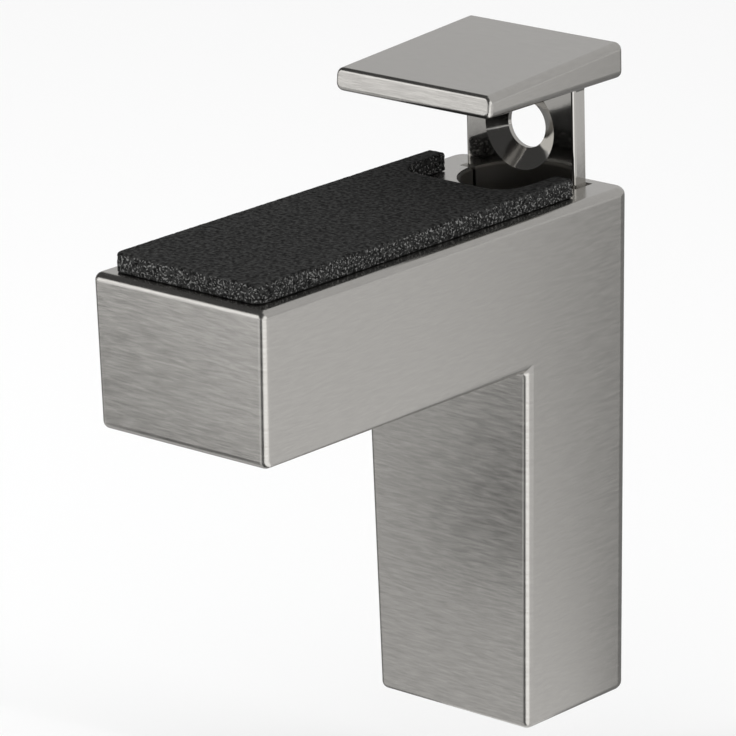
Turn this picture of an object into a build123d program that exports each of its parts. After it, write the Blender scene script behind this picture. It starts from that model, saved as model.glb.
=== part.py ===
from build123d import *
import os
from math import atan, degrees, radians, tan

# A shelf clip: a cast bracket slides up a wall-fixed jaw and clamps a shelf against its cap.
# Millimetres. X is the width, Y points into the wall and Z is up. The origin is the centre of
# the wall screw's hole, on the back face of the jaw's plate.

os.makedirs("parts", exist_ok=True)

# Bracket: an arm that carries the shelf and a leg that stands against the wall
bracket_width = 22.0
bracket_height = 52.8
reach = 53.3
arm_height = 15.4
leg_depth = 15.7
side_draft = 1.3
edge_round = 0.8
back_edge_round = 1.6
crook_round = 0.6

# Guide inside the leg: lips hold the jaw's plate, and a half round channel clears its boss
lip_thick = 2.0
lip_gap = 10.0
channel_radius = 6.0
rim_bevel = 0.3
play = 0.2
wall_clear = 0.3
boss_play = 0.3

# Pockets cast into the arm under the pad, with one rib left across it
pocket_wall = 3.0
pocket_floor = 3.2
pocket_rib = 2.4
pocket_round = 2.0
pocket_draft = 1.0

# Jaw: a plate that stands in the guide, with a cap above the shelf and a threaded boss below
plate_width = 14.0
plate_thick = 1.65
plate_edge_round = 0.35
cap_width = 19.8
cap_length = 20.2
cap_front_thick = 2.3
cap_back_thick = 3.65
cap_front_lean = 0.25
cap_side_flat = 0.7
cap_end_round = 0.45
jaw_fillet = 1.1
boss_height = 8.0

# Wall screw's hole in the plate, dished for a countersunk head
hole_radius = 2.4
dish_radius = 4.4
hole_land = 0.5
hole_above_bracket = 5.1

# Foam pad glued on the arm, notched round the plate
pad_thick = 2.0
pad_side_inset = 1.7
pad_front_inset = 1.1
pad_corner_round = 1.0
pad_back_clear = 2.9
notch_side_play = 0.15
notch_depth = 7.7
notch_round = 3.0

# Clamp screw, turned with a hex key from below
screw_radius = 2.0
screw_length = 35.0
screw_head_radius = 3.5
screw_head_height = 2.8
screw_tip_bevel = 0.5
socket_across_flats = 2.5
socket_depth = 1.7
head_recess = 0.6
web_thick = 3.0
running_play = 0.05
head_play = 0.3
plate_to_screw = 0.4

# Travel: the shelf gap as it stands, and how far the bracket moves from there
shelf_gap = 8.65
closing_travel = 8.0
floor_play = 0.6

# Places worked out from the sizes
bracket_back_y = lip_thick + play
wall_y = bracket_back_y + wall_clear
bracket_front_y = bracket_back_y - reach
leg_front_y = bracket_back_y - leg_depth
bracket_top_z = -hole_above_bracket
bracket_bottom_z = bracket_top_z - bracket_height
plate_front_y = -plate_thick
slot_front_y = plate_front_y - play
slot_half_width = plate_width / 2 + play
pad_top_z = bracket_top_z + pad_thick
cap_under_z = pad_top_z + shelf_gap
cap_side_round = (cap_front_thick - cap_side_flat) / 2
screw_y = plate_front_y - plate_to_screw - screw_radius
screw_seat_z = bracket_bottom_z + head_recess + screw_head_height
guide_floor_z = screw_seat_z + web_thick
boss_bottom_z = guide_floor_z + floor_play + closing_travel
boss_radius = channel_radius - boss_play
pad_back_y = plate_front_y - pad_back_clear
pad_front_y = bracket_front_y + pad_front_inset
pad_half_width = bracket_width / 2 - pad_side_inset
notch_front_y = pad_back_y - notch_depth
notch_half_width = plate_width / 2 + notch_side_play
bottom_half_width = bracket_width / 2 - bracket_height * tan(radians(side_draft))

# An edge counts as running along an axis if this much of its direction does
along_axis = 0.9

# Bracket casting, from its side view, narrowed towards the foot by the draft of its sides
with BuildPart() as bracket_body:
    with BuildSketch(Plane.YZ):
        with BuildLine():
            Polyline(
                (bracket_back_y, bracket_bottom_z),
                (bracket_back_y, bracket_top_z),
                (bracket_front_y, bracket_top_z),
                (bracket_front_y, bracket_top_z - arm_height),
                (leg_front_y, bracket_top_z - arm_height),
                (leg_front_y, bracket_bottom_z),
                close=True,
            )
        make_face()
    extrude(amount=bracket_width / 2, both=True)
    with BuildSketch(Plane.XZ.offset(-bracket_back_y)):
        with BuildLine():
            Polyline(
                (-bracket_width / 2, bracket_top_z),
                (bracket_width / 2, bracket_top_z),
                (bottom_half_width, bracket_bottom_z),
                (-bottom_half_width, bracket_bottom_z),
                close=True,
            )
        make_face()
    extrude(amount=reach, mode=Mode.INTERSECT)

    # Rounded edges: wide ones down the back, a small one in the crook, even ones elsewhere
    back_face = bracket_body.faces().sort_by(Axis.Y)[-1]
    fillet(back_face.edges().filter_by(lambda edge: abs(edge.tangent_at(0.5).Z) > along_axis), back_edge_round)
    crook_point = Vector(0, leg_front_y, bracket_top_z - arm_height)
    fillet(bracket_body.edges().filter_by(lambda edge: edge.distance_to(crook_point) > edge_round), edge_round)
    fillet(bracket_body.edges().sort_by_distance(crook_point)[0], crook_round)

    # Guide for the jaw, open at the top and, between the lips, at the back
    with BuildSketch(Plane.XY.offset(bracket_top_z)):
        with Locations((0, (play + slot_front_y) / 2)):
            Rectangle(2 * slot_half_width, play - slot_front_y)
        with Locations((0, (play + bracket_back_y) / 2)):
            Rectangle(lip_gap, bracket_back_y - play)
        with BuildLine():
            CenterArc((0, plate_front_y), channel_radius, 180, 180)
            Line((channel_radius, plate_front_y), (-channel_radius, plate_front_y))
        make_face()
    extrude(amount=guide_floor_z - bracket_top_z, mode=Mode.SUBTRACT)
    top_edges = bracket_body.faces().sort_by(Axis.Z)[-1].edges()
    rim = top_edges.filter_by_position(Axis.Y, plate_front_y - channel_radius, play)
    chamfer(rim.filter_by_position(Axis.X, -slot_half_width, slot_half_width), length=rim_bevel)

    # Seat of the clamp screw in the foot of the leg
    with Locations(Plane(origin=(0, screw_y, bracket_bottom_z), z_dir=(0, 0, -1))):
        CounterBoreHole(
            radius=screw_radius + running_play,
            counter_bore_radius=screw_head_radius + head_play,
            counter_bore_depth=head_recess + screw_head_height,
            depth=guide_floor_z - bracket_bottom_z,
        )

    # Two pockets under the pad
    pocket_back_y = notch_front_y - pocket_wall / 2
    pocket_front_y = bracket_front_y + pocket_wall
    pocket_length = (pocket_back_y - pocket_front_y - pocket_rib) / 2
    pocket_middle_y = (pocket_back_y + pocket_front_y) / 2
    with BuildSketch(Plane.XY.offset(bracket_top_z)):
        with Locations((0, pocket_middle_y)):
            with GridLocations(0, pocket_length + pocket_rib, 1, 2):
                RectangleRounded(bracket_width - 2 * pocket_wall, pocket_length, pocket_round)
    extrude(amount=pocket_floor - arm_height, taper=pocket_draft, mode=Mode.SUBTRACT)

bracket_body.part.label = "bracket_body"
export_step(bracket_body.part, "parts/bracket_body.step")

# Foam pad, cut from sheet: round front corners, and two ears beside the notch
with BuildPart() as shelf_pad:
    with BuildSketch(Plane.XY.offset(bracket_top_z)) as pad_outline:
        with Locations((0, (pad_back_y + pad_front_y) / 2)):
            Rectangle(2 * pad_half_width, pad_back_y - pad_front_y)
        fillet(pad_outline.vertices().group_by(Axis.Y)[0], pad_corner_round)
        with Locations((0, pad_back_y)):
            RectangleRounded(2 * notch_half_width, 2 * notch_depth, notch_round, mode=Mode.SUBTRACT)
    extrude(amount=pad_thick)

shelf_pad.part.label = "shelf_pad"
export_step(shelf_pad.part, "parts/shelf_pad.step")

# Upper jaw, one casting: a wedge shaped cap with full round sides, the plate under it and the
# threaded boss
with BuildPart() as upper_jaw:
    with BuildSketch(Plane.YZ):
        with BuildLine():
            Polyline(
                (wall_y, cap_under_z),
                (wall_y, cap_under_z + cap_back_thick),
                (wall_y - cap_length + cap_front_lean, cap_under_z + cap_front_thick),
                (wall_y - cap_length, cap_under_z),
                close=True,
            )
        make_face()
    extrude(amount=cap_width / 2, both=True)
    side_edges = upper_jaw.edges().filter_by(lambda edge: abs(edge.tangent_at(0.5).Y) > along_axis)
    fillet(side_edges, radius=cap_side_round)
    front_outline = upper_jaw.faces().sort_by(Axis.Y)[0].edges()
    back_outline = upper_jaw.faces().sort_by(Axis.Y)[-1].edges()
    fillet(front_outline + back_outline, radius=cap_end_round)

    # Plate, down from the cap to the foot of the boss
    with BuildSketch(Plane.XY.offset(cap_under_z)) as plate_section:
        with Locations((0, plate_front_y / 2)):
            Rectangle(plate_width, plate_thick)
        fillet(plate_section.vertices().group_by(Axis.Y)[0], plate_edge_round)
    extrude(amount=boss_bottom_z - cap_under_z)
    cap_joint = upper_jaw.edges().filter_by_position(Axis.Z, cap_under_z, cap_under_z)
    fillet(cap_joint.filter_by_position(Axis.Y, plate_front_y, 0), radius=jaw_fillet)

    # Boss, rounded to run down the channel
    with BuildSketch(Plane.XY.offset(boss_bottom_z)):
        with BuildLine():
            CenterArc((0, plate_front_y), boss_radius, 180, 180)
            Line((boss_radius, plate_front_y), (-boss_radius, plate_front_y))
        make_face()
    extrude(amount=boss_height)
    with Locations(Plane(origin=(0, screw_y, boss_bottom_z), z_dir=(0, 0, -1))):
        Hole(radius=screw_radius + running_play, depth=boss_height)

    # Wall screw's hole, dished from the front
    dish_angle = 2 * degrees(atan((dish_radius - hole_radius) / (plate_thick - hole_land)))
    with Locations(Plane(origin=(0, plate_front_y, 0), z_dir=(0, -1, 0))):
        CounterSinkHole(
            radius=hole_radius,
            counter_sink_radius=dish_radius,
            depth=plate_thick,
            counter_sink_angle=dish_angle,
        )

upper_jaw.part.label = "upper_jaw"
export_step(upper_jaw.part, "parts/upper_jaw.step")

# Clamp screw: its head hangs under the web of the leg and its shank runs up through the boss
with BuildPart() as clamp_screw:
    head_top_z = screw_seat_z - running_play
    with BuildSketch(Plane.XY.offset(head_top_z - screw_head_height)):
        with Locations((0, screw_y)):
            Circle(screw_head_radius)
    extrude(amount=screw_head_height)
    with BuildSketch(Plane.XY.offset(head_top_z)):
        with Locations((0, screw_y)):
            Circle(screw_radius)
    extrude(amount=screw_length)
    chamfer(clamp_screw.edges().sort_by(Axis.Z)[-1], length=screw_tip_bevel)
    with BuildSketch(Plane.XY.offset(head_top_z - screw_head_height)):
        with Locations((0, screw_y)):
            RegularPolygon(radius=socket_across_flats / 2, side_count=6, major_radius=False)
    extrude(amount=socket_depth, mode=Mode.SUBTRACT)

clamp_screw.part.label = "clamp_screw"
export_step(clamp_screw.part, "parts/clamp_screw.step")
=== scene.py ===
import bpy
import bmesh
from math import cos, pi, radians, sin
from mathutils import Matrix, Vector


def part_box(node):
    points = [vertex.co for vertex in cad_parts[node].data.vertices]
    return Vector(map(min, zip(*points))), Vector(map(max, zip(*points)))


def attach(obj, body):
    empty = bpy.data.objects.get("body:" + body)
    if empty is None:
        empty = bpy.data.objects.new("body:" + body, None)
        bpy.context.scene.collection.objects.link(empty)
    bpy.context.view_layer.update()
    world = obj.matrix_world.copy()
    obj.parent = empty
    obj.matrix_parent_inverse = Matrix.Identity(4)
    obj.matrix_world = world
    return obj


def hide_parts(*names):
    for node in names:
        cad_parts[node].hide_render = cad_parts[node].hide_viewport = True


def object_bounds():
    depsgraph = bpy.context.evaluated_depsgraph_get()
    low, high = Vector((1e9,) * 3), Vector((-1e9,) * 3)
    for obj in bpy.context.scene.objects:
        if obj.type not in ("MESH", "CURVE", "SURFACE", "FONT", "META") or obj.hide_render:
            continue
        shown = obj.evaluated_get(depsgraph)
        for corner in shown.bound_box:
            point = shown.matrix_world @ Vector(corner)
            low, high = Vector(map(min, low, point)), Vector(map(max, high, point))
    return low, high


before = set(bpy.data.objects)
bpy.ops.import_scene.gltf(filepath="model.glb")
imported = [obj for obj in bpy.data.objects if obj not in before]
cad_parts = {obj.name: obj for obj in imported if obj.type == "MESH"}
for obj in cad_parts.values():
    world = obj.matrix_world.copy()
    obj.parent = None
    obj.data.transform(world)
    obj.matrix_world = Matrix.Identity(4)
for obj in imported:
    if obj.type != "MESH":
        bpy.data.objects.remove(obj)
cad_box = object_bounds()

# Bracket: a zinc die casting, ground with a belt and plated in satin nickel.
# It is kept as the solid gives it. The belt leaves level lines on the front faces and a finer
# satin on the sides; the guide and the screw's recess are left as cast under the plating.
nickel_colour = (0.470, 0.457, 0.434)
satin_roughness = 0.24
streak_roughness = 0.03
belt_line = 0.00011
belt_run = 0.0014
coarse_line = 3 * belt_line
coarse_run = 2 * belt_run
front_belt_depth = 0.000004
side_belt_depth = 0.0000012
front_belt_shade = 0.24
side_belt_shade = 0.1
cast_roughness = 0.42
cast_grain = 0.00035
cast_depth = 0.000012
# Most of a noise lies between these values, and of the sum of two between these
noise_span = (0.3, 0.7)
two_noise_span = (0.7, 1.3)
# How far from the clamp screw's axis the guide and the recess reach
guide_reach = 0.0084
recess_reach = 0.00385
guide_skin = 0.0001


def start_material(name, colour, metallic, roughness):
    """A new material: its tree and its surface shader, with the plain values set."""
    material = bpy.data.materials.new(name)
    material.use_nodes = True
    surface = material.node_tree.nodes["Principled BSDF"]
    surface.inputs["Base Color"].default_value = (*colour, 1)
    surface.inputs["Metallic"].default_value = metallic
    surface.inputs["Roughness"].default_value = roughness
    return material, material.node_tree, surface


def add_node(tree, kind, inputs=None, **settings):
    """A node with its settings, and its inputs as plain values or links from other sockets."""
    node = tree.nodes.new(kind)
    for key, value in settings.items():
        setattr(node, key, value)
    for key, value in (inputs or {}).items():
        if isinstance(value, bpy.types.NodeSocket):
            tree.links.new(value, node.inputs[key])
        else:
            node.inputs[key].default_value = value
    return node


def maths(tree, operation, *values):
    """The result of one sum on sockets or plain numbers."""
    return add_node(tree, "ShaderNodeMath", dict(enumerate(values)), operation=operation).outputs[0]


def ramp(tree, value, low, high, start=0.0, end=1.0):
    """The value taken from low..high to start..end, and held beyond."""
    inputs = {"Value": value, "From Min": low, "From Max": high, "To Min": start, "To Max": end}
    return add_node(tree, "ShaderNodeMapRange", inputs).outputs["Result"]


def stretched_noise(tree, place, spacing, detail=2.0):
    """Noise on a piece's own coordinates, with its own spacing in metres along each axis."""
    scale = Vector((1 / spacing[0], 1 / spacing[1], 1 / spacing[2]))
    mapping = add_node(tree, "ShaderNodeMapping", {"Vector": place, "Scale": scale})
    inputs = {"Vector": mapping.outputs["Vector"], "Scale": 1.0, "Detail": detail}
    return add_node(tree, "ShaderNodeTexNoise", inputs).outputs["Fac"]


def blend_values(tree, share, first, second):
    """The first value where share is 0 and the second where it is 1."""
    return add_node(tree, "ShaderNodeMix", {"Factor": share, 2: first, 3: second}).outputs[0]


def facing(tree, axis, leaning=0.6, square=0.8):
    """1 on faces square to that axis and 0 on those that lean away from it."""
    normal = add_node(tree, "ShaderNodeNewGeometry").outputs["Normal"]
    along = add_node(tree, "ShaderNodeSeparateXYZ", {"Vector": normal}).outputs[axis]
    return ramp(tree, maths(tree, "ABSOLUTE", along), leaning, square)


def belt_lines(tree, place, line, run):
    """Height of belt lines: level on upright faces, and along X on faces up or down."""
    level = stretched_noise(tree, place, (run, run, line))
    flat = stretched_noise(tree, place, (run, line, run))
    return blend_values(tree, facing(tree, "Z"), level, flat)


def plated_casting(name, other_share, other_roughness, other_grain, other_depth):
    """Satin nickel, with another finish under the plating where other_share finds one."""
    material, tree, surface = start_material(name, nickel_colour, 1.0, satin_roughness)
    place = add_node(tree, "ShaderNodeTexCoord").outputs["Object"]
    share = other_share(tree, place)
    coarse = belt_lines(tree, place, coarse_line, coarse_run)
    streaks = ramp(tree, coarse, *noise_span, satin_roughness - streak_roughness,
                   satin_roughness + streak_roughness)
    tree.links.new(blend_values(tree, share, streaks, other_roughness), surface.inputs["Roughness"])
    lines = maths(tree, "ADD", belt_lines(tree, place, belt_line, belt_run), coarse)
    grain = stretched_noise(tree, place, (other_grain, other_grain, other_grain), detail=3.0)
    front = facing(tree, "Y")
    belt_shade = blend_values(tree, front, side_belt_shade, front_belt_shade)
    uneven = maths(tree, "SUBTRACT", ramp(tree, lines, *two_noise_span), 0.5)
    belt_tone = maths(tree, "ADD", maths(tree, "MULTIPLY", uneven, belt_shade), 1.0)
    shade = blend_values(tree, share, belt_tone, 1.0)
    colour = add_node(tree, "ShaderNodeVectorMath", {0: nickel_colour, "Scale": shade}, operation="SCALE")
    tree.links.new(colour.outputs[0], surface.inputs["Base Color"])
    belt_depth = blend_values(tree, front, side_belt_depth, front_belt_depth)
    ground = maths(tree, "MULTIPLY", lines, belt_depth)
    other = maths(tree, "MULTIPLY", grain, other_depth)
    height = blend_values(tree, share, ground, other)
    bump = add_node(tree, "ShaderNodeBump", {"Height": height, "Strength": 1.0, "Distance": 1.0})
    tree.links.new(bump.outputs["Normal"], surface.inputs["Normal"])
    return material


def guide_and_recess(tree, place):
    """1 inside the bracket's guide and in the recess of its foot."""
    low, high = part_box("bracket_body")
    screw_low, screw_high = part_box("clamp_screw")
    axis = (screw_low + screw_high) / 2
    moved = add_node(tree, "ShaderNodeVectorMath", {0: place, 1: (axis.x, axis.y, 0)},
                     operation="SUBTRACT").outputs[0]
    parts = add_node(tree, "ShaderNodeSeparateXYZ", {"Vector": moved}).outputs
    level = add_node(tree, "ShaderNodeCombineXYZ", {"X": parts["X"], "Y": parts["Y"]}).outputs[0]
    reach = add_node(tree, "ShaderNodeVectorMath", {0: level}, operation="LENGTH").outputs["Value"]
    below_top = maths(tree, "LESS_THAN", parts["Z"], high.z - guide_skin)
    above_foot = maths(tree, "GREATER_THAN", parts["Z"], low.z + guide_skin)
    guide = maths(tree, "MULTIPLY", maths(tree, "LESS_THAN", reach, guide_reach), above_foot)
    recess = maths(tree, "LESS_THAN", reach, recess_reach)
    return maths(tree, "MULTIPLY", maths(tree, "MAXIMUM", guide, recess), below_top)


def dress(node, material):
    """Gives a solid that stays as it is its material."""
    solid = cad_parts[node]
    solid.data.materials.clear()
    solid.data.materials.append(material)


satin_nickel = plated_casting("satin_nickel", guide_and_recess, cast_roughness, cast_grain, cast_depth)
dress("bracket_body", satin_nickel)

# Upper jaw: one casting too, and kept as the solid gives it. Its cap is ground and satin
# plated like the bracket. The belt can't reach the plate, the fillets and the dished hole, so
# they keep the bright, smooth plating of the casting.
bright_roughness = 0.08
bright_grain = 0.0012
bright_depth = 0.000002
shelf_gap = 0.00865
cap_skin = 0.00004


def below_cap(tree, place):
    """1 on the jaw below the flat underside of its cap."""
    cap_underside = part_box("shelf_pad")[1].z + shelf_gap
    height = add_node(tree, "ShaderNodeSeparateXYZ", {"Vector": place}).outputs["Z"]
    return maths(tree, "LESS_THAN", height, cap_underside - cap_skin)


jaw_nickel = plated_casting("jaw_nickel", below_cap, bright_roughness, bright_grain, bright_depth)
dress("upper_jaw", jaw_nickel)

# Foam pad: closed cell rubber foam cut from a sheet and glued on the arm. The sheet's skin is
# left on top as a fine dull grain; the cut sides are open cells, so their edges are broken up.
foam_colour = (0.024, 0.024, 0.0235)
foam_roughness = 0.8
foam_specular = 0.06
foam_grain = 0.0004
mottle_span = (0.35, 0.65)
mottle_shade = (0.3, 1.7)
# Painted glints: light specks painted into the foam's colour stand in for the light that cut cell walls
# catch, many on the cut sides and a few on the top skin.
painted_glint_colour = (0.22, 0.22, 0.215)
painted_glint_size = 0.00022
cut_glint_span = (0.56, 0.68)
skin_glint_span = (0.66, 0.8)
skin_glint_share = 0.25
foam_voxel = 0.00016
foam_edge = 0.00035
foam_corner = 0.001
foam_small_corner = 0.0002
foam_notch_half_width = 0.00715
foam_notch_depth = 0.0077
foam_notch_round = 0.003
cell_size = 0.00045
cell_depth = 0.00024
cell_pit_span = (0.15, 0.6)
cut_side_span = (0.35, 0.8)
skin_size = 0.0005
skin_depth = 0.00009


def round_corners(corners, steps=8):
    """A closed outline from (corner, radius) pairs, each corner replaced by an arc."""
    outline = []
    for index, (corner, radius) in enumerate(corners):
        corner = Vector(corner)
        before = (Vector(corners[index - 1][0]) - corner).normalized()
        after = (Vector(corners[(index + 1) % len(corners)][0]) - corner).normalized()
        centre = corner + (before + after) * radius
        start = -after * radius
        end = -before * radius
        for step in range(steps + 1):
            share = step / steps * pi / 2
            outline.append(centre + start * cos(share) + end * sin(share))
    return outline


def mesh_piece(name, mesh):
    """A piece with that mesh, at the row's origin."""
    piece = bpy.data.objects.new(name, mesh)
    bpy.context.scene.collection.objects.link(piece)
    return piece


def bake(piece):
    """The piece with its modifiers made into plain mesh, and the modifiers gone."""
    ready = piece.evaluated_get(bpy.context.evaluated_depsgraph_get())
    mesh = bpy.data.meshes.new_from_object(ready)
    piece.modifiers.clear()
    piece.data = mesh


def new_group(name, sockets):
    """A geometry node group with one geometry in and out and the named number inputs."""
    group = bpy.data.node_groups.new(name, "GeometryNodeTree")
    group.interface.new_socket("Geometry", in_out="OUTPUT", socket_type="NodeSocketGeometry")
    group.interface.new_socket("Geometry", in_out="INPUT", socket_type="NodeSocketGeometry")
    for socket in sockets:
        group.interface.new_socket(socket, in_out="INPUT", socket_type="NodeSocketFloat")
    return group, add_node(group, "NodeGroupInput").outputs


def use_group(piece, group, values):
    """Adds the group to the piece as a modifier and sets its named inputs."""
    modifier = piece.modifiers.new(group.name, "NODES")
    modifier.node_group = group
    for item in group.interface.items_tree:
        if item.in_out == "INPUT" and item.name in values:
            modifier[item.identifier] = values[item.name]


def finish_group(group, geometry, material):
    """Ends the group: instances made real and the material set."""
    real = add_node(group, "GeometryNodeRealizeInstances", {"Geometry": geometry})
    painted = add_node(group, "GeometryNodeSetMaterial", {"Geometry": real.outputs[0], "Material": material})
    add_node(group, "NodeGroupOutput", {"Geometry": painted.outputs[0]})


def foam_material():
    """Matt black, with painted glints: light specks in its colour stand in for cut cell walls catching the
    light, many on the sides and a few on top.
    """
    material, tree, surface = start_material("black_foam", foam_colour, 0.0, foam_roughness)
    surface.inputs["Specular IOR Level"].default_value = foam_specular
    place = add_node(tree, "ShaderNodeTexCoord").outputs["Object"]
    cut = add_node(tree, "ShaderNodeAttribute", attribute_name="cut").outputs["Fac"]
    # Painted glints: light specks in the colour, most where the sides are cut
    glint_noise = stretched_noise(tree, place, (painted_glint_size, painted_glint_size, painted_glint_size), 1.0)
    cut_glints = maths(tree, "MULTIPLY", ramp(tree, glint_noise, *cut_glint_span), cut)
    skin_glints = ramp(tree, glint_noise, *skin_glint_span, 0.0, skin_glint_share)
    share = maths(tree, "MAXIMUM", cut_glints, skin_glints)
    mottle = stretched_noise(tree, place, (foam_grain, foam_grain, foam_grain))
    grain = ramp(tree, mottle, *mottle_span, *mottle_shade)
    ground = add_node(tree, "ShaderNodeVectorMath", {0: foam_colour, "Scale": grain}, operation="SCALE")
    colour = add_node(tree, "ShaderNodeMix", {"Factor": share, 6: ground.outputs[0], 7: (*painted_glint_colour, 1)},
                      data_type="RGBA")
    tree.links.new(colour.outputs[2], surface.inputs["Base Color"])
    return material


def foam_cells(material):
    """Cells opened by the cut on the sides, and the fine grain of the skin on top."""
    group, given = new_group("foam_cells", ("Cell size", "Cell depth", "Skin size", "Skin depth"))
    normal = add_node(group, "GeometryNodeInputNormal").outputs[0]
    up = add_node(group, "ShaderNodeSeparateXYZ", {"Vector": normal}).outputs["Z"]
    side = ramp(group, maths(group, "ABSOLUTE", up), *cut_side_span, 1.0, 0.0)
    place = add_node(group, "GeometryNodeInputPosition").outputs[0]
    cell_scale = maths(group, "DIVIDE", 1.0, given["Cell size"])
    cells = add_node(group, "ShaderNodeTexVoronoi", {"Vector": place, "Scale": cell_scale})
    pit = ramp(group, cells.outputs["Distance"], *cell_pit_span, 1.0, 0.0)
    skin_scale = maths(group, "DIVIDE", 1.0, given["Skin size"])
    skin = add_node(group, "ShaderNodeTexNoise", {"Vector": place, "Scale": skin_scale, "Detail": 3.0})
    side_depth = maths(group, "MULTIPLY", maths(group, "MULTIPLY", pit, given["Cell depth"]), side)
    skin_depth = maths(group, "MULTIPLY", skin.outputs["Fac"], given["Skin depth"])
    depth = maths(group, "MULTIPLY", maths(group, "ADD", side_depth, skin_depth), -1.0)
    inward = add_node(group, "ShaderNodeVectorMath", {0: normal, "Scale": depth}, operation="SCALE")
    marked = add_node(group, "GeometryNodeStoreNamedAttribute",
                      {"Geometry": given["Geometry"], "Name": "cut", "Value": side})
    moved = add_node(group, "GeometryNodeSetPosition",
                     {"Geometry": marked.outputs[0], "Offset": inward.outputs[0]})
    finish_group(group, moved.outputs[0], material)
    return group


def foam_pad():
    """The pad at its size in the solids: its outline raised, its top edge rounded, its cells cut."""
    low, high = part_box("shelf_pad")
    notch_front = high.y - foam_notch_depth
    corners = [
        ((low.x, low.y), foam_corner),
        ((high.x, low.y), foam_corner),
        ((high.x, high.y), foam_small_corner),
        ((foam_notch_half_width, high.y), foam_small_corner),
        ((foam_notch_half_width, notch_front), foam_notch_round),
        ((-foam_notch_half_width, notch_front), foam_notch_round),
        ((-foam_notch_half_width, high.y), foam_small_corner),
        ((low.x, high.y), foam_small_corner),
    ]
    work = bmesh.new()
    outline = [work.verts.new((point.x, point.y, low.z)) for point in round_corners(corners)]
    under = work.faces.new(outline)
    raised = bmesh.ops.extrude_face_region(work, geom=[under])["geom"]
    top = [item for item in raised if isinstance(item, bmesh.types.BMVert)]
    bmesh.ops.translate(work, verts=top, vec=(0, 0, high.z - low.z))
    rim = [edge for edge in work.edges if all(vertex in top for vertex in edge.verts)]
    bmesh.ops.bevel(work, geom=rim, offset=foam_edge, segments=3, profile=0.5, affect="EDGES")
    bmesh.ops.recalc_face_normals(work, faces=work.faces)
    mesh = bpy.data.meshes.new("foam_pad")
    work.to_mesh(mesh)
    work.free()
    pad = mesh_piece("foam_pad", mesh)
    remesh = pad.modifiers.new("even_mesh", "REMESH")
    remesh.mode = "VOXEL"
    remesh.voxel_size = foam_voxel
    use_group(pad, foam_cells(foam_material()), {
        "Cell size": cell_size,
        "Cell depth": cell_depth,
        "Skin size": skin_size,
        "Skin depth": skin_depth,
    })
    bake(pad)
    pad.data.polygons.foreach_set("use_smooth", [True] * len(pad.data.polygons))
    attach(pad, "bracket")
    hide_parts("shelf_pad")


foam_pad()

# Clamp screw: a bright zinc plated M4 socket head screw, turned with a hex key from below.
# The thread is rolled, so its crests and roots are a little round, and the head is knurled.
zinc_colour = (0.60, 0.61, 0.63)
zinc_roughness = 0.24
thread_pitch = 0.0007
thread_root = 0.00158
thread_crest = 0.00198
thread_crest_width = 0.00012
thread_foot_width = 0.00062
tip_radius = thread_root * 0.72
tip_bevel = 0.3 * thread_pitch
screw_head_height = 0.0028
head_radius = 0.0035
head_edge = 0.0003
head_chamfer = 1.5 * head_edge
knurl_count = 36
knurl_depth = 0.00012
socket_apothem = 0.00125
socket_depth = 0.0017
socket_chamfer = 0.0002
drill_point = 2 * socket_chamfer
drill_point_radius = 0.1 * socket_apothem
points_round = 144


def plain(radius):
    """A round side with that radius."""
    return lambda angle: radius


def knurled(angle):
    """The head's side: ridges at its full radius and grooves between them."""
    return head_radius - knurl_depth * (0.5 - 0.5 * cos(knurl_count * angle))


def hexagon(angle):
    """The socket's side, from the distance between its flats."""
    return socket_apothem / cos((angle + pi / 6) % (pi / 3) - pi / 6)


def turned(work, axis, sections):
    """A closed skin through sections, each a radius by angle and a height along the axis."""
    rings = []
    for radius, height in sections:
        ring = []
        for index in range(points_round):
            angle = 2 * pi * index / points_round
            reach = radius(angle)
            ring.append(work.verts.new((axis.x + reach * cos(angle), axis.y + reach * sin(angle), height)))
        rings.append(ring)
    for first, second in zip(rings, rings[1:]):
        for index in range(points_round):
            after = (index + 1) % points_round
            work.faces.new((first[index], first[after], second[after], second[index]))
    work.faces.new(rings[0])
    work.faces.new(rings[-1])


def thread_group(material):
    """A ridge swept along a helix, joined to the piece that it is wound on."""
    group, given = new_group("thread", ("Length", "Turns", "Root", "Start", "Along X", "Along Y"))
    helix = add_node(group, "GeometryNodeCurveSpiral", {
        "Resolution": 32,
        "Rotations": given["Turns"],
        "Start Radius": given["Root"],
        "End Radius": given["Root"],
        "Height": given["Length"],
        "Reverse": True,
    })
    steady = add_node(group, "GeometryNodeSetCurveNormal", {"Curve": helix.outputs[0]}, mode="Z_UP")
    ridge = add_node(group, "GeometryNodeCurvePrimitiveQuadrilateral", {
        "Bottom Width": thread_foot_width,
        "Top Width": thread_crest_width,
        "Height": 2 * (thread_crest - thread_root),
        "Offset": 0.0,
    }, mode="TRAPEZOID")
    swept = add_node(group, "GeometryNodeCurveToMesh", {
        "Curve": steady.outputs[0],
        "Profile Curve": ridge.outputs[0],
        "Fill Caps": True,
    })
    offset = add_node(group, "ShaderNodeCombineXYZ", {"X": given["Along X"], "Y": given["Along Y"],
                                                      "Z": given["Start"]})
    placed = add_node(group, "GeometryNodeTransform",
                      {"Geometry": swept.outputs[0], "Translation": offset.outputs[0]})
    both = add_node(group, "GeometryNodeJoinGeometry")
    group.links.new(given["Geometry"], both.inputs[0])
    group.links.new(placed.outputs[0], both.inputs[0])
    finish_group(group, both.outputs[0], material)
    return group


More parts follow.
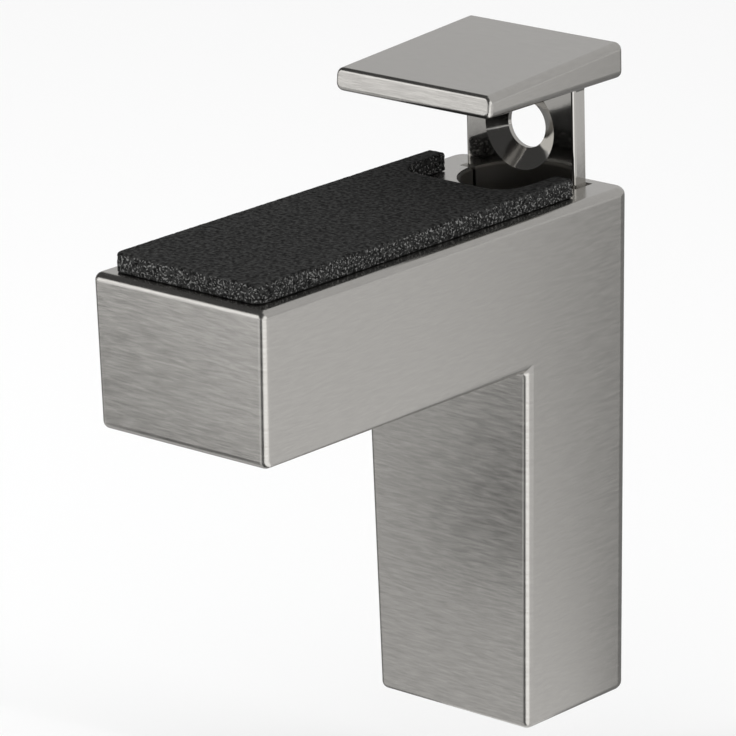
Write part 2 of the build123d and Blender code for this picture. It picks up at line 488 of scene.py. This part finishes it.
def threaded_screw():
    """The screw from its tip down over the head and into the socket, with its thread wound on."""
    low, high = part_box("clamp_screw")
    axis = (low + high) / 2
    head_top = low.z + screw_head_height
    work = bmesh.new()
    turned(work, axis, [
        (plain(tip_radius), high.z),
        (plain(thread_root), high.z - tip_bevel),
        (plain(thread_root), head_top),
        (plain(head_radius - head_edge), head_top),
        (knurled, head_top - head_edge),
        (knurled, low.z + head_edge),
        (plain(head_radius - head_chamfer), low.z),
        (plain(socket_apothem + 2 * socket_chamfer), low.z),
        (hexagon, low.z + socket_chamfer),
        (hexagon, low.z + socket_depth),
        (plain(drill_point_radius), low.z + socket_depth + drill_point),
    ])
    bmesh.ops.recalc_face_normals(work, faces=work.faces)
    mesh = bpy.data.meshes.new("threaded_screw")
    work.to_mesh(mesh)
    work.free()
    screw = mesh_piece("threaded_screw", mesh)
    zinc = start_material("zinc_plate", zinc_colour, 1.0, zinc_roughness)[0]
    length = high.z - head_top - thread_pitch
    use_group(screw, thread_group(zinc), {
        "Length": length,
        "Turns": length / thread_pitch,
        "Root": thread_root,
        "Start": head_top + thread_pitch / 2,
        "Along X": axis.x,
        "Along Y": axis.y,
    })
    bake(screw)
    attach(screw, "screw")
    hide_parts("clamp_screw")


threaded_screw()

# Studio: a pale floor, just below the bracket's lowest place on the jaw, and a white backdrop,
# with an even sky and two soft lamps. Polished metal shows what stands round it, so it alone
# sees cards laid level under the clip and patches of light and dark in the sky.
floor_colour = (0.95, 0.95, 0.95)
floor_roughness = 0.9
floor_reach = 2.0
sky_level = 0.95
middle = (cad_box[0] + cad_box[1]) / 2
lowest_travel = 0.0125
floor_height = cad_box[0].z - lowest_travel
card_height = floor_height + 0.0002
card_step = 0.0001
# Each card has a level and an outline, X and Y in metres, and covers the cards before it. The
# front faces mirror those in front and on the left, the right side those beside and behind it.
floor_cards = {
    "left": (0.65, ((-0.9, -0.9), (0.0, -0.9), (0.011, -0.016), (-0.011, -0.012), (-0.9, -0.12))),
    "far_left": (1.15, ((-0.9, -0.9), (-0.08, -0.9), (-0.066, -0.289), (-0.226, -0.289), (-0.226, -0.079),
                        (-0.9, -0.149))),
    "before_arm": (0.95, ((-0.156, -0.289), (-0.156, -0.194), (-0.126, -0.184), (-0.11, -0.175),
                          (-0.101, -0.159), (-0.046, -0.159), (-0.056, -0.289))),
    "under_arm": (0.08, ((-0.055, -0.075), (-0.032, -0.075), (-0.078, -0.156), (-0.106, -0.147))),
    "under_cap": (0.05, ((-0.17, -0.195), (-0.138, -0.188), (-0.116, -0.18), (-0.109, -0.163),
                         (-0.17, -0.156))),
    "front": (0.1, ((-0.06, -0.9), (0.30, -0.9), (0.013, -0.016), (0.011, -0.016), (0.002, -0.046),
                     (-0.012, -0.138))),
    "right": (1.6, ((0.30, -0.9), (0.9, -0.9), (0.9, -0.45), (0.186, -0.098), (0.134, -0.046),
                    (0.013, -0.014))),
    "side": (0.84, ((0.013, -0.014), (0.134, -0.046), (0.186, -0.098), (0.9, -0.45), (0.9, 1.1),
                    (0.168, 0.203), (0.145, 0.154), (0.013, 0.004))),
    "back": (0.26, ((0.013, 0.004), (0.145, 0.154), (0.168, 0.203), (0.9, 1.1), (-0.3, 1.1),
                    (-0.011, -0.003))),
    "side_to_back": (0.6, ((0.013, 0.001), (0.145, 0.151), (0.168, 0.2), (0.9, 1.095), (0.9, 1.105),
                           (0.168, 0.206), (0.145, 0.157), (0.013, 0.007))),
    "back_left": (0.25, ((-0.011, -0.003), (-0.3, 1.1), (-0.9, 1.1), (-0.9, -0.43), (-0.179, -0.119),
                         (-0.129, -0.061), (-0.011, -0.013))),
}
# Each patch: azimuth from the front towards the right, elevation, radius, edge, and level
metal_sky_level = 0.66
sky_patches = (
    (-75, 40, 38, 6, 0.07),
    (0, 42, 30, 8, 0.07),
    (-42, 8, 14, 4, 1.7),
    (5, 5, 18, 6, 0.07),
    (62, 8, 22, 8, 1.6),
)


def glow(name, level):
    """A material that shines evenly at that level."""
    material = bpy.data.materials.new(name)
    material.use_nodes = True
    tree = material.node_tree
    tree.nodes.clear()
    light = add_node(tree, "ShaderNodeEmission", {"Color": (1, 1, 1, 1), "Strength": level})
    add_node(tree, "ShaderNodeOutputMaterial", {"Surface": light.outputs[0]})
    return material


def card(name, level, corners):
    """A card with those corners, seen by reflections and by nothing else."""
    mesh = bpy.data.meshes.new(name)
    mesh.from_pydata(corners, [], [range(len(corners))])
    mesh.materials.append(glow(name, level))
    piece = mesh_piece(name, mesh)
    piece.visible_camera = False
    piece.visible_diffuse = False
    piece.visible_shadow = False
    piece.visible_transmission = False
    return piece


def soft_lamp(name, direction, distance, size, level):
    """A square lamp turned to the middle of the clip, that shines at that level."""
    lamp = bpy.data.lights.new(name, "AREA")
    lamp.shape = "SQUARE"
    lamp.size = size
    lamp.energy = level * pi * size ** 2
    holder = bpy.data.objects.new(name, lamp)
    holder.location = middle + Vector(direction).normalized() * distance
    holder.rotation_euler = (middle - holder.location).to_track_quat("-Z", "Y").to_euler()
    holder.visible_glossy = False
    bpy.context.scene.collection.objects.link(holder)


floor_mesh = bpy.data.meshes.new("floor")
floor_corners = [(floor_reach * x, floor_reach * y, floor_height)
                 for x, y in ((-1, -1), (1, -1), (1, 1), (-1, 1))]
floor_mesh.from_pydata(floor_corners, [], [range(4)])
floor_mesh.materials.append(start_material("pale_floor", floor_colour, 0.0, floor_roughness)[0])
floor = mesh_piece("floor", floor_mesh)
for step, (name, (card_level, outline)) in enumerate(floor_cards.items()):
    height = card_height + step * card_step
    card(f"card_{name}", card_level, [(x, y, height) for x, y in outline])


def sky_patch(tree, way, azimuth, elevation, radius, edge):
    """1 in a round patch of sky about that direction, and 0 beyond its soft edge."""
    across = cos(radians(elevation))
    centre = (sin(radians(azimuth)) * across, -cos(radians(azimuth)) * across, sin(radians(elevation)))
    near = add_node(tree, "ShaderNodeVectorMath", {0: way, 1: centre}, operation="DOT_PRODUCT")
    return ramp(tree, near.outputs["Value"], cos(radians(radius + edge)), cos(radians(radius)))


world = bpy.data.worlds.new("studio")
bpy.context.scene.world = world
world.use_nodes = True
sky = world.node_tree
sky.nodes.clear()
ray = add_node(sky, "ShaderNodeLightPath").outputs
way = add_node(sky, "ShaderNodeTexCoord").outputs["Generated"]
metal_sky = metal_sky_level
for azimuth, elevation, radius, edge, patch_level in sky_patches:
    patch = sky_patch(sky, way, azimuth, elevation, radius, edge)
    metal_sky = blend_values(sky, patch, metal_sky, patch_level)
unseen_sky = blend_values(sky, ray["Is Glossy Ray"], sky_level, metal_sky)
whole_sky = blend_values(sky, ray["Is Camera Ray"], unseen_sky, 1.0)
sky_light = add_node(sky, "ShaderNodeBackground", {"Color": (1, 1, 1, 1), "Strength": whole_sky})
add_node(sky, "ShaderNodeOutputWorld", {"Surface": sky_light.outputs[0]})

soft_lamp("key", (-0.62, -0.66, 0.6), 0.6, 0.25, 3.6)
soft_lamp("fill", (0.75, 0.20, 0.55), 0.6, 0.2, 2.0)

# Camera: the photograph's view, from the right of the front and above, through a long lens.
view_azimuth = radians(41.963)
view_elevation = radians(17.550)
view_roll = radians(-1.493)
view_distance = 0.54185
view_centre = Vector((-0.007578, -0.016466, -0.022694))
view_lens = 268.23

back = Vector((sin(view_azimuth) * cos(view_elevation), -cos(view_azimuth) * cos(view_elevation),
               sin(view_elevation)))
sideways = Vector((cos(view_azimuth), sin(view_azimuth), 0))
upright = back.cross(sideways)
across = sideways * cos(view_roll) + upright * sin(view_roll)
upward = upright * cos(view_roll) - sideways * sin(view_roll)
lens = bpy.data.cameras.new("camera")
lens.lens = view_lens
lens.sensor_width = 36
lens.clip_start = 0.05
lens.clip_end = 20
camera = bpy.data.objects.new("camera", lens)
turn = Matrix((across, upward, back)).transposed().to_4x4()
camera.matrix_world = Matrix.Translation(view_centre + back * view_distance) @ turn
bpy.context.scene.collection.objects.link(camera)
bpy.context.scene.camera = camera

bpy.context.scene.view_settings.view_transform = "Standard"
